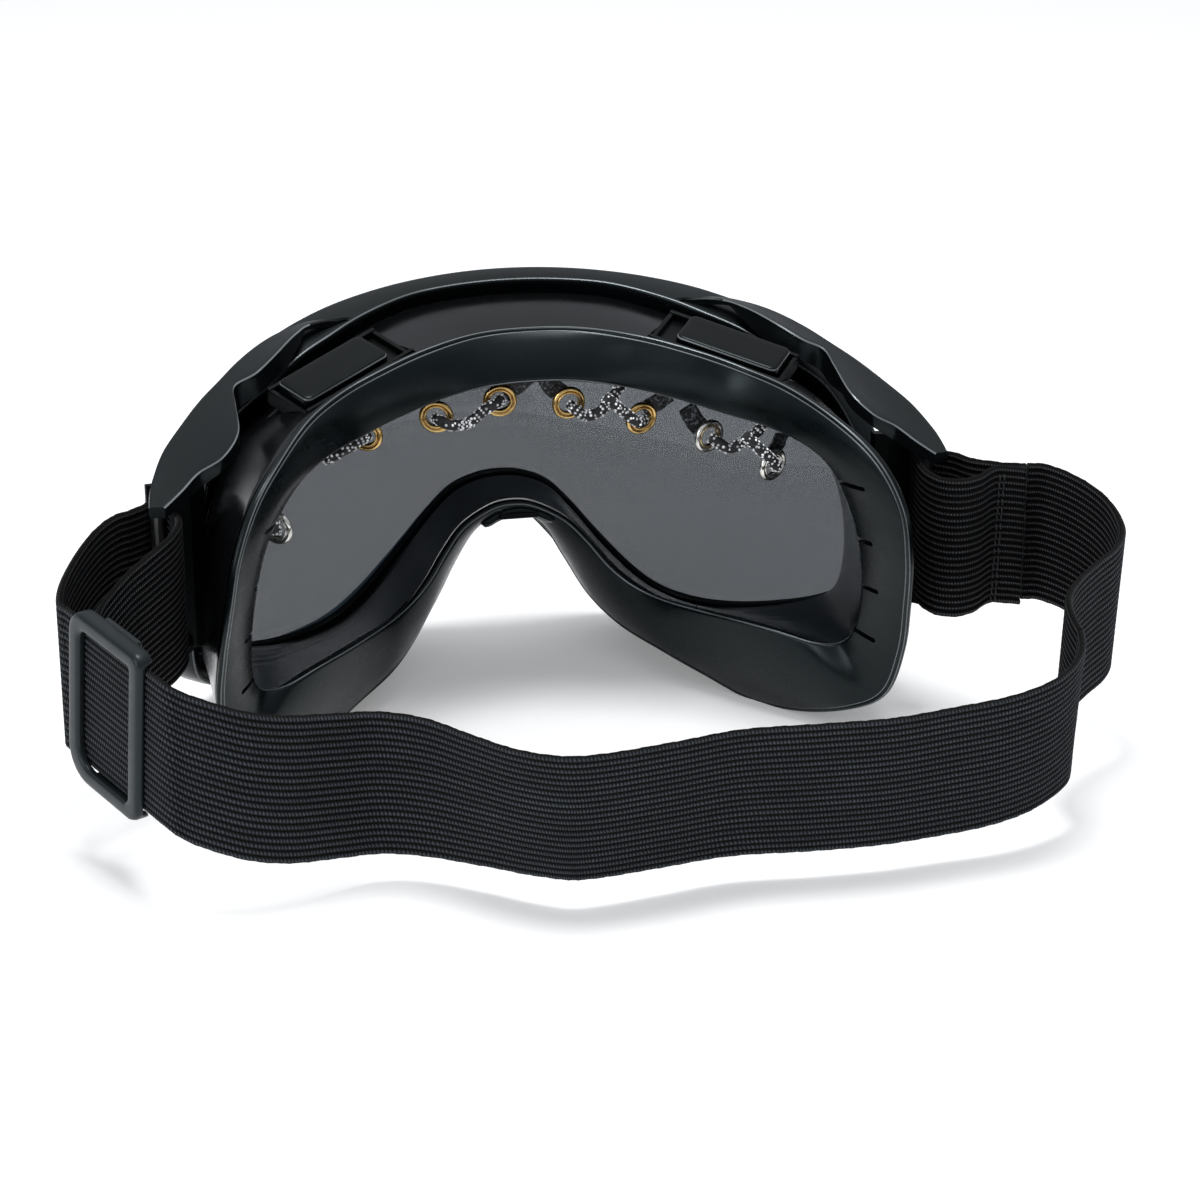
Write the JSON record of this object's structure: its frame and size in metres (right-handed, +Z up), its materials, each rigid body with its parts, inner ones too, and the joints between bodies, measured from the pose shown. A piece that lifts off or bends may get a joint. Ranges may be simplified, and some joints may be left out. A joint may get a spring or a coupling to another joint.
{
  "type": "welding goggles",
  "caption": "Wide wrap-round protective goggles with a smoked lens, broad soft face seal, sliding brow vents, laced trim and an elastic head strap with an adjuster buckle.",
  "frame": {"origin": "on the ground plane under the middle of the object's bounding box, strap included", "axes": "+X to the wearer's right, +Y forward out of the lens, +Z up; the goggles are symmetric about a plane of constant X just left of the origin, and only the strap and the trim are not"},
  "size_m": [0.229, 0.1632, 0.0945],
  "materials": {
    "frame_plastic": "satin dark grey-green nylon",
    "shell_plastic": "glossy black",
    "seal_tpu": "satin soft moulding",
    "gasket_rubber": "matt",
    "smoke_lens": "smoked, polished",
    "clear_lens": "clear, polished",
    "strap_webbing": "ribbed elastic webbing",
    "buckle_plastic": "satin blue-grey",
    "eyelet_brass": "polished",
    "eyelet_nickel": "polished nickel",
    "crystal_lace": "black braid set with clear stones",
    "glitter_ribbon": "woven with fine glitter",
    "pin_steel": "plain",
    "filter_foam": "open felt"
  },
  "bodies": {
    "goggles": {"body_shell": "shell_plastic", "eyelet_1": "eyelet_nickel", "eyelet_2": "eyelet_brass", "eyelet_3": "eyelet_brass", "eyelet_4": "eyelet_brass", "eyelet_5": "eyelet_brass", "eyelet_6": "eyelet_brass", "eyelet_7": "eyelet_nickel", "eyelet_8": "eyelet_nickel", "face_seal": "seal_tpu", "front_frame": "frame_plastic", "inner_lens": "clear_lens", "inner_shroud": "shell_plastic", "lace_1": "crystal_lace", "lace_2": "crystal_lace", "lace_3": "crystal_lace", "lace_4": "crystal_lace", "lace_5": "crystal_lace", "lace_6": "crystal_lace", "lace_7": "crystal_lace", "lens_gasket": "gasket_rubber", "nose_insert": "frame_plastic", "nose_pad": "seal_tpu", "outer_lens": "smoke_lens", "pin_bracket_left": "frame_plastic", "pin_bracket_right": "frame_plastic", "ribbon_1": "glitter_ribbon", "ribbon_2": "glitter_ribbon", "ribbon_3": "glitter_ribbon", "ribbon_4": "glitter_ribbon", "ribbon_5": "glitter_ribbon", "strap_arm_left": "frame_plastic", "strap_arm_right": "frame_plastic", "strap_loop_left": "strap_webbing", "strap_loop_right": "strap_webbing", "strap_pin_left": "pin_steel", "strap_pin_right": "pin_steel", "strap_side_right": "strap_webbing", "vent_foam_left": "filter_foam", "vent_foam_right": "filter_foam", "vent_grille_left": "frame_plastic", "vent_grille_right": "frame_plastic", "vent_tray_left": "frame_plastic", "vent_tray_right": "frame_plastic"},
    "vent_cap_right_body": {"vent_cap_right": "frame_plastic"},
    "vent_cap_left_body": {"vent_cap_left": "frame_plastic"},
    "strap_back": {"strap_rear": "strap_webbing"},
    "buckle": {"adjuster_buckle": "buckle_plastic"}
  },
  "joints": [
    {"name": "vent_cap_right_slide", "type": "slide", "parent": "goggles", "child": "vent_cap_right_body", "axis": [-0.8131, 0.5358, 0.2276], "range_m": [0, 0.004]},
    {"name": "vent_cap_left_slide", "type": "slide", "parent": "goggles", "child": "vent_cap_left_body", "axis": [0.8131, 0.5358, 0.2276], "range_m": [0, 0.004]},
    {"name": "strap_stretch", "type": "slide", "parent": "goggles", "child": "strap_back", "axis": [0, -1, 0], "range_m": [0, 0.03], "stiffness_N_per_m": 30, "deforming": ["strap_side_right", "strap_loop_left"]},
    {"name": "adjuster_slide", "type": "slide", "parent": "strap_back", "child": "buckle", "axis": [0.451, -0.8847, -0.118], "range_m": [-0.003, 0.003]}
  ]
}
